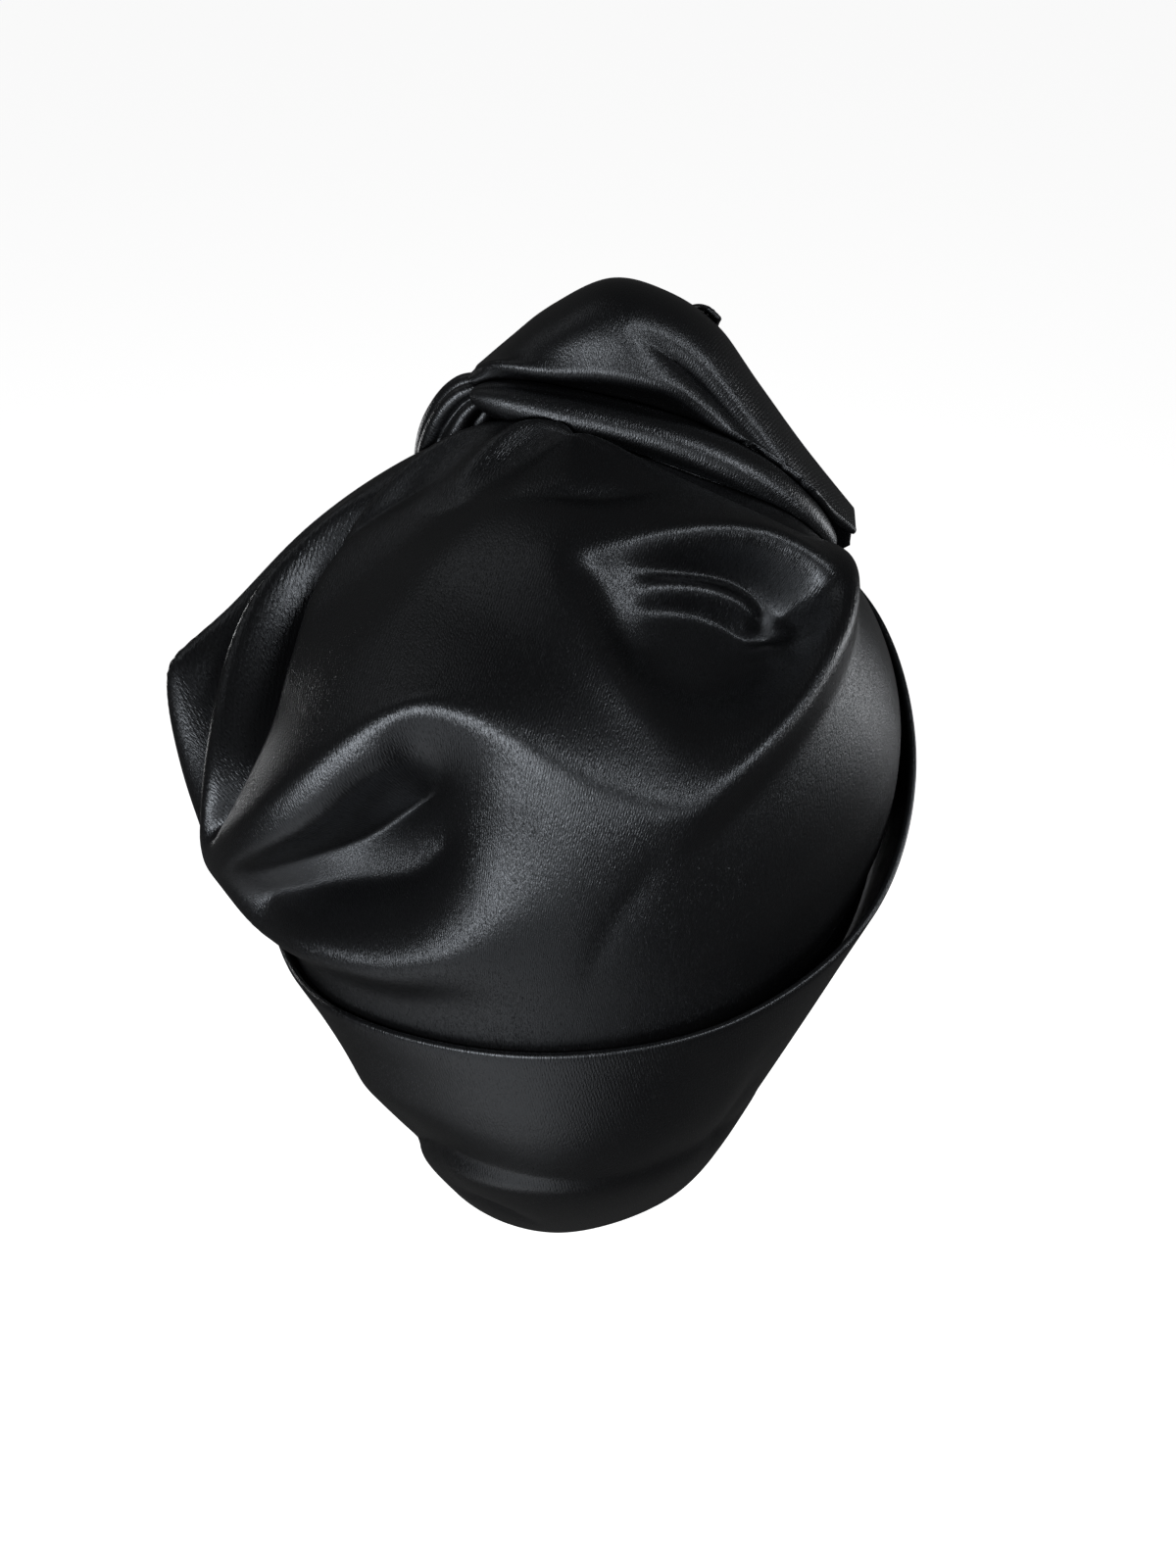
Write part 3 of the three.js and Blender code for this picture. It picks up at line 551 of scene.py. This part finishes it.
def plain_loop(along, over):
    """The middle of the loop's wall: over is 0 at the foot by the bag, a half at the ridge, 1 in front."""
    row = loop_at(along)
    x, back_y, back_z, top_y, top_z, front_y, front_z, swell = np.moveaxis(row, -1, 0)
    behind = over < 0.5
    turn = np.where(behind, over, 1 - over) * math.pi
    foot_y = np.where(behind, back_y, front_y)
    foot_z = np.where(behind, back_z, front_z)
    out = np.cos(turn) + (swell + np.where(behind, BACK_SWELL, 0)) * np.sin(2 * turn)
    return np.stack([x, top_y + (foot_y - top_y) * out, foot_z + (top_z - foot_z) * np.sin(turn)], -1)


def loop_point(along, over, away=0.0):
    """The loop's wall with its folds, moved away from itself by away millimetres."""
    rise = relief(along * LOOP_LENGTH, over * LOOP_GIRTH, LOOP_FOLDS, LOOP_HOLLOWS)[..., 0]
    step = 0.01
    lengthwise = plain_loop(along + step, over) - plain_loop(along - step, over)
    crosswise = plain_loop(along, np.minimum(over + step, 1)) - plain_loop(along, np.maximum(over - step, 0))
    outward = unit(np.cross(lengthwise, crosswise))
    return plain_loop(along, over) + outward * (rise + away)[..., None]


def grid_normals(points, ring):
    """Which way a grid of points faces at each point. A ring joins its last column to its first."""
    along = np.roll(points, -1, 0) - np.roll(points, 1, 0)
    if not ring:
        along[0] = points[1] - points[0]
        along[-1] = points[-1] - points[-2]
    return unit(np.cross(along, np.gradient(points, axis=1)))


def write_mesh(name, points, faces, corners):
    """A piece from points in millimetres, faces as lists of their numbers, and each corner's cloth place."""
    mesh = bpy.data.meshes.new(name)
    mesh.from_pydata((np.asarray(points) * MM).tolist(), [], faces)
    cloth = mesh.uv_layers.new(name="cloth")
    cloth.data.foreach_set("uv", np.asarray(corners, float).ravel() / TEXTURE_UNIT)
    mesh.polygons.foreach_set("use_smooth", [True] * len(mesh.polygons))
    mesh.update()
    piece = bpy.data.objects.new(name, mesh)
    bpy.context.scene.collection.objects.link(piece)
    return piece


def sheet_piece(name, middle, cloth, thickness, ring=False, capped=False):
    """Cloth of one thickness on both sides of a grid of points, closed and with round edges.
    A ring joins its last column to its first, and a capped grid starts in one point."""
    columns, rows = middle.shape[0], middle.shape[1] - 1
    normals = grid_normals(middle, ring)
    if capped:
        normals[:, 0] = unit(normals[:, 1].mean(0))
    half = thickness / 2
    outer = middle + normals * half
    inner = middle - normals * half
    points = np.concatenate([outer.reshape(-1, 3), inner.reshape(-1, 3)])
    number = np.arange(columns * (rows + 1)).reshape(columns, rows + 1)
    if capped:
        number[:, 0] = number[0, 0]
    sides = [number, number + columns * (rows + 1)]
    faces, corners = [], []
    strips = columns if ring else columns - 1
    for i in range(strips):
        k = (i + 1) % columns
        for j in range(rows):
            for side, order in ((0, (0, 1, 2, 3)), (1, (0, 3, 2, 1))):
                ids = sides[side]
                quad = [ids[i, j], ids[k, j], ids[k, j + 1], ids[i, j + 1]]
                places = [cloth[i, j], cloth[i + 1, j], cloth[i + 1, j + 1], cloth[i, j + 1]]
                keep = [n for n in order if not (capped and j == 0 and n == 1)]
                faces.append([int(quad[n]) for n in keep])
                corners.extend(places[n] for n in keep)
    for loop in rim_loops(columns, rows, ring, capped):
        at = np.array([middle[i % columns, j] for i, j in loop])
        within = np.array([
            middle[i % columns if ring else min(max(i, 1), columns - 2), min(max(j, 1), rows - 1)]
            for i, j in loop
        ])
        out = unit(at - within)
        up = np.array([normals[i % columns, j] for i, j in loop])
        lines = [[int(sides[0][i % columns, j]) for i, j in loop]]
        for angle in np.radians(RIM_ANGLES):
            first = len(points)
            points = np.concatenate([points, at + half * (up * math.cos(angle) + out * math.sin(angle))])
            lines.append(list(range(first, first + len(loop))))
        lines.append([int(sides[1][i % columns, j]) for i, j in loop])
        for upper, lower in zip(lines[:-1], lines[1:]):
            for n in range(len(loop)):
                m = (n + 1) % len(loop)
                faces.append([upper[n], upper[m], lower[m], lower[n]])
                here, there = cloth[loop[n]], cloth[loop[m]]
                if ring and m == 0:
                    there = cloth[columns if loop[0][0] == 0 else 0, loop[0][1]]
                corners.extend([here, there, there, here])
    return write_mesh(name, points, faces, corners)


def rim_loops(columns, rows, ring, capped):
    """The open edges of a grid, as loops of (column, row)."""
    if not ring:
        side = [(0, j) for j in range(rows)]
        foot = [(i, rows) for i in range(columns - 1)]
        far = [(columns - 1, j) for j in range(rows, 0, -1)]
        top = [(i, 0) for i in range(columns - 1, 0, -1)]
        return [side + foot + far + top]
    loops = [[(i, rows) for i in range(columns)]]
    if not capped:
        loops.append([(i, 0) for i in range(columns, 0, -1)])
    return loops


def wound_piece(name, wound, steps, settle):
    """Cloth wound on itself: folded oval sections along its rows, rounded off at both ends."""
    folds, share, twist, rows = wound
    along, rounds = steps
    read = along_table(rows)
    t = np.linspace(0, 1, along + 1)
    row = read(t)
    middle, half_deep, half_tall = row[:, 0:3], row[:, 3], row[:, 4]
    forward = unit(np.gradient(middle, axis=0))
    tall = unit(np.cross(forward, [0.0, 1.0, 0.0]))
    side = np.cross(tall, forward)
    rounding = np.sqrt(np.maximum(1 - (2 * t - 1) ** WOUND_BLUNT, WOUND_TIP))[:, None]
    angle = np.linspace(0, 2 * math.pi, rounds, endpoint=False)[None, :]
    turned = folds * angle + np.radians(twist) * t[:, None]
    crease = np.abs(np.cos(turned / 2)) ** WOUND_CREASE
    rib = 1 + share * (2 * crease - 1)
    across = (half_deep[:, None] * rib * rounding * np.cos(angle))[..., None] * side[:, None, :]
    upward = (half_tall[:, None] * rib * rounding * np.sin(angle))[..., None] * tall[:, None, :]
    points = settle(middle[:, None, :] + across + upward)
    girth = np.linspace(0, 2 * math.pi, rounds + 1) * np.mean(half_deep)
    length = t * np.linalg.norm(np.diff(middle, axis=0), axis=1).sum()
    number = np.arange((along + 1) * rounds).reshape(along + 1, rounds)
    faces, corners = [], []
    for i in range(along):
        for j in range(rounds):
            k = (j + 1) % rounds
            faces.append([int(number[i, j]), int(number[i, k]), int(number[i + 1, k]), int(number[i + 1, j])])
            corners.extend([
                (length[i], girth[j]), (length[i], girth[j + 1]),
                (length[i + 1], girth[j + 1]), (length[i + 1], girth[j]),
            ])
    ends = [points[0].mean(0), points[-1].mean(0)]
    for end, i in ((0, 0), (1, along)):
        tip = (along + 1) * rounds + end
        for j in range(rounds):
            k = (j + 1) % rounds
            first, second = (k, j) if end == 0 else (j, k)
            faces.append([tip, int(number[i, first]), int(number[i, second])])
            corners.extend([(length[i], 0), (length[i], girth[first]), (length[i], girth[second])])
    return write_mesh(name, np.concatenate([points.reshape(-1, 3), ends]), faces, corners)


def tree_of(piece, outer_of=None):
    """A piece's surface in millimetres, or only its outer side, seen from outer_of, a point in its hollow."""
    mesh = piece.data
    faces = [
        list(p.vertices) for p in mesh.polygons
        if outer_of is None or p.normal.dot(p.center / MM - Vector(outer_of)) > 0
    ]
    return BVHTree.FromPolygons([v.co / MM for v in mesh.vertices], faces)


def pushed_out(points, tree, clear):
    """Points moved so that each lies at least clear outside a closed neighbour."""
    flat = points.reshape(-1, 3).copy()
    for k, point in enumerate(flat):
        place, normal, _, distance = tree.find_nearest(Vector(point))
        inside = (Vector(point) - place).dot(normal) < 0
        if inside or distance < clear:
            flat[k] = place + normal * clear
    return flat.reshape(points.shape)


def blurred(grid):
    """A grid of values evened out with its neighbours, first along it and then across."""
    for axis in (0, 1):
        turned = np.moveaxis(grid, axis, 0)
        wide = np.concatenate([turned[:1], turned, turned[-1:]])
        grid = np.moveaxis((wide[:-2] + 2 * turned + wide[2:]) / 4, 0, axis)
    return grid


def settled(points, tree, clear, share=1.0):
    """A grid of points moved out of a neighbour in even steps, so that the cloth stays smooth."""
    for _ in range(SETTLE_TURNS):
        push = (pushed_out(points, tree, clear) - points) * share
        for _ in range(SETTLE_BLUR):
            push = blurred(push)
        points = points + push
    return points


def make_crown():
    """The bag, with its rim tucked inside the band."""
    middle, cloth = crown_grid()
    cloth = np.concatenate([cloth, cloth[:1]])
    return sheet_piece("crown_bag", middle, cloth, CROWN_WALL, ring=True, capped=True)


def make_band():
    """The cuff round the head, with its slack folds at the nape."""
    columns, rows = BAND_STEPS
    share = np.linspace(0, 1, columns + 1)
    up = np.linspace(0, 1, rows + 1)
    around, height = np.meshgrid(180 + 360 * share, up, indexing="ij")
    cloth = np.stack([share[:, None] * BAND_GIRTH + 0 * height, height * BAND_HEIGHT], -1)
    turn = np.mod(around + 180, 360) - 180
    change = relief(turn / 360 * BAND_GIRTH, height * BAND_HEIGHT, BAND_FOLDS)[..., 0:1]
    row = band_at(around)
    outward = row[..., 0:3] + row[..., 3:6]
    outward[..., 2] = 0
    fade = smoothstep(1 - height, 0, BAND_FADE)[..., None]
    middle = band_point(around, height) + unit(outward) * change * fade
    return sheet_piece("head_cuff", middle[:-1], cloth, BAND_WALL, ring=True)


def make_loop(roll_tree, crown_tree):
    """The open loop of the knot, resting on the roll and the bag."""
    columns, rows = LOOP_STEPS
    along, over = np.meshgrid(np.linspace(0, 1, columns + 1), np.linspace(0, 1, rows + 1), indexing="ij")
    cloth = np.stack([along * LOOP_LENGTH, over * LOOP_GIRTH], -1)
    clear = LOOP_WALL / 2 + CLEAR
    behind = 1 - smoothstep(over, *ROLL_TOUCHES)[..., None]
    middle = settled(loop_point(along, over), roll_tree, clear, behind)
    return sheet_piece("loop_of_knot", settled(middle, crown_tree, clear), cloth, LOOP_WALL)


def make_tail():
    """The scarf's end, pleated up the front of the loop."""
    columns, rows = TAIL_STEPS
    along, across = np.meshgrid(np.linspace(0, 1, columns + 1), np.linspace(-1, 1, rows + 1), indexing="ij")
    place, over, half_wide, lift = np.moveaxis(tail_at(along), -1, 0)
    rib = TAIL_RIB_RISE * (1 + np.cos(2 * math.pi * TAIL_RIBS * across)) * (1 - across**2)
    away = (LOOP_WALL + TAIL_WALL) / 2 + TAIL_LIFT + rib * np.sin(math.pi * along) + lift
    cloth = np.stack([along * TAIL_LENGTH, across * TAIL_HALF_WIDE], -1)
    return sheet_piece("scarf_end", loop_point(place + across * half_wide, over, away), cloth, TAIL_WALL)


def satin_material():
    """Black satin: fine slanting threads, a grain that sparkles in the highlights, and soft variation."""
    material = bpy.data.materials.new("satin")
    material.use_nodes = True
    tree = material.node_tree
    shader = tree.nodes["Principled BSDF"]
    shader.inputs["IOR"].default_value = 1.5
    shader.inputs["Specular IOR Level"].default_value = 0.6
    shader.inputs["Specular Tint"].default_value = (0.86, 0.92, 1.0, 1.0)

    def node(kind, **values):
        made = tree.nodes.new("ShaderNode" + kind)
        for key, value in values.items():
            if key in made.inputs:
                made.inputs[key].default_value = value
            else:
                setattr(made, key, value)
        return made

    def link(a, out, b, into):
        tree.links.new(a.outputs[out], b.inputs[into])

    cloth = node("UVMap", uv_map="cloth")
    stretched = node("Mapping", Scale=WEAVE_STRETCH, Rotation=(0, 0, math.radians(WEAVE_TURN)))
    link(cloth, "UV", stretched, "Vector")
    threads = node("TexWave", Scale=THREAD_SCALE, Distortion=1.5, Detail=2.0)
    threads.inputs["Detail Scale"].default_value = 3.0
    link(stretched, "Vector", threads, "Vector")
    grain = node("TexNoise", Scale=GRAIN_SCALE, Detail=1.0, Roughness=0.5)
    link(stretched, "Vector", grain, "Vector")
    broad = node("TexNoise", Scale=3.0, Detail=2.0, Roughness=0.5)
    link(cloth, "UV", broad, "Vector")

    colour = node("MapRange")
    colour.data_type = "FLOAT_VECTOR"
    noise_low, noise_high = NOISE_RANGE
    vector_range = ((noise_low,) * 3, (noise_high,) * 3, SATIN_DARK, SATIN_LIGHT)
    for socket, value in zip(VECTOR_SOCKETS, vector_range):
        colour.inputs[socket].default_value = value
    link(broad, "Fac", colour, "Vector")
    link(colour, "Vector", shader, "Base Color")

    rough = node("MapRange")
    rough.inputs["From Min"].default_value = noise_low
    rough.inputs["From Max"].default_value = noise_high
    rough.inputs["To Min"].default_value = SATIN_ROUGHNESS[0]
    rough.inputs["To Max"].default_value = SATIN_ROUGHNESS[1]
    link(grain, "Fac", rough, "Value")
    link(rough, "Result", shader, "Roughness")

    fine = node("Bump", Strength=0.5, Distance=THREAD_HEIGHT)
    link(threads, "Fac", fine, "Height")
    coarse = node("Bump", Strength=1.0, Distance=GRAIN_HEIGHT)
    link(grain, "Fac", coarse, "Height")
    link(fine, "Normal", coarse, "Normal")
    link(coarse, "Normal", shader, "Normal")
    return material


def floor_material():
    """A plain pale floor that glows a little, so that it stays even behind the black cloth."""
    material = bpy.data.materials.new("pale_floor")
    material.use_nodes = True
    shader = material.node_tree.nodes["Principled BSDF"]
    shader.inputs["Base Color"].default_value = (0.9, 0.9, 0.9, 1)
    shader.inputs["Roughness"].default_value = 0.9
    shader.inputs["Specular IOR Level"].default_value = 0.1
    shader.inputs["Emission Color"].default_value = (1, 1, 1, 1)
    shader.inputs["Emission Strength"].default_value = FLOOR_GLOW
    return material


def dress():
    """Makes every piece of the wrap, each in place of its CAD node."""
    crown = make_crown()
    band = make_band()
    crown_tree = tree_of(crown, CROWN_INSIDE)

    def on_crown(points):
        return pushed_out(points, crown_tree, CLEAR)

    roll = wound_piece("wound_roll", ROLL, ROLL_STEPS, on_crown)
    tucked = wound_piece("gathered_tuck", TUCKED, TUCK_STEPS, on_crown)
    loop = make_loop(tree_of(roll), crown_tree)
    tail = make_tail()
    satin = satin_material()
    made = {
        "crown": crown, "head_band": band, "knot_loop": loop,
        "knot_roll": roll, "knot_tuck": tucked, "knot_tail": tail,
    }
    for node, piece in made.items():
        piece.data.materials.append(satin)
        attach(piece, "root")
        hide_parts(node)
    return made


def light(name, place, size, power):
    lamp = bpy.data.lights.new(name, "AREA")
    lamp.size = size
    lamp.energy = power
    made = bpy.data.objects.new(name, lamp)
    made.location = place
    made.rotation_euler = (Vector(LAMPS_AIM) - Vector(place)).to_track_quat("-Z", "Y").to_euler()
    bpy.context.scene.collection.objects.link(made)


def studio():
    """Soft lamps, the floor and the camera."""
    scene = bpy.context.scene
    world = bpy.data.worlds.new("soft_studio")
    world.use_nodes = True
    background = world.node_tree.nodes["Background"]
    background.inputs["Color"].default_value = (1, 1, 1, 1)
    background.inputs["Strength"].default_value = ROOM_LIGHT
    scene.world = world
    for name, lamp in LAMPS.items():
        light(name, *lamp)

    bpy.ops.mesh.primitive_plane_add(size=FLOOR_SIZE, location=(0, 0, FLOOR_HEIGHT))
    floor = bpy.context.object
    floor.name = "floor"
    floor.data.materials.append(floor_material())
    floor.visible_glossy = False

    camera = bpy.data.objects.new("camera", bpy.data.cameras.new("camera"))
    camera.data.sensor_width = CAMERA_SENSOR
    camera.data.lens = CAMERA_LENS
    camera.location = CAMERA_PLACE
    camera.rotation_euler = Vector(CAMERA_LOOKS).to_track_quat("-Z", "Y").to_euler()
    scene.collection.objects.link(camera)
    scene.camera = camera
    scene.view_settings.view_transform = "Standard"


dress()
studio()
